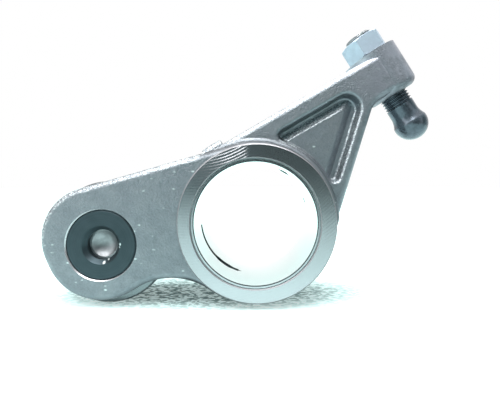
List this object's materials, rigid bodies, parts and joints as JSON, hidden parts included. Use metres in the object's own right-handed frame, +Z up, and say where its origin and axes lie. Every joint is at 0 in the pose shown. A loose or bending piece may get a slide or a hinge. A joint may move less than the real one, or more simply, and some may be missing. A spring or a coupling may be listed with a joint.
{
  "type": "roller rocker arm",
  "caption": "Forged rocker arm with a bushed shaft bore, a cam roller on a hollow pin in a fork, and a ball-ended adjusting screw held by a hexagon lock nut.",
  "frame": {"origin": "axis of the shaft bore, at the middle of the hub's width", "axes": "+X towards the adjusting screw, +Y along the shaft bore, +Z up; it stands on its hub and its roller"},
  "size_m": [0.1879, 0.048, 0.1356],
  "materials": {
    "forged_steel": "shot-blasted forging, satin",
    "bush_steel": "fine bored",
    "black_pin": "black oxide, ground",
    "plug_steel": "pressed",
    "roller_steel": "ground, bright",
    "bronze": "turned",
    "screw_steel": "phosphated thread",
    "zinc": "blue-white zinc plate"
  },
  "bodies": {
    "arm": {"rocker_arm": "forged_steel", "shaft_bush": "bush_steel", "roller_pin": "black_pin", "pin_plug_front": "plug_steel", "pin_plug_rear": "plug_steel"},
    "floating_bush": {"roller_bush": "bronze"},
    "roller": {"cam_roller": "roller_steel"},
    "screw": {"adjusting_screw": "screw_steel"},
    "nut": {"lock_nut": "zinc"}
  },
  "joints": [
    {"name": "floating_bush_spin", "type": "hinge", "parent": "arm", "child": "floating_bush", "pos_m": [-0.0705, 0, -0.01], "axis": [0, 1, 0], "continuous": true},
    {"name": "cam_roller_spin", "type": "hinge", "parent": "floating_bush", "child": "roller", "pos_m": [-0.0705, 0, -0.01], "axis": [0, 1, 0], "continuous": true},
    {"name": "screw_adjust", "type": "slide", "parent": "arm", "child": "screw", "axis": [-0.5299, 0, 0.848], "range_m": [-0.0025, 0.004]},
    {"name": "nut_turn", "type": "hinge", "parent": "arm", "child": "nut", "pos_m": [0.05842, 0, 0.08312], "axis": [-0.5299, 0, 0.848], "range_deg": [0, 360]}
  ]
}
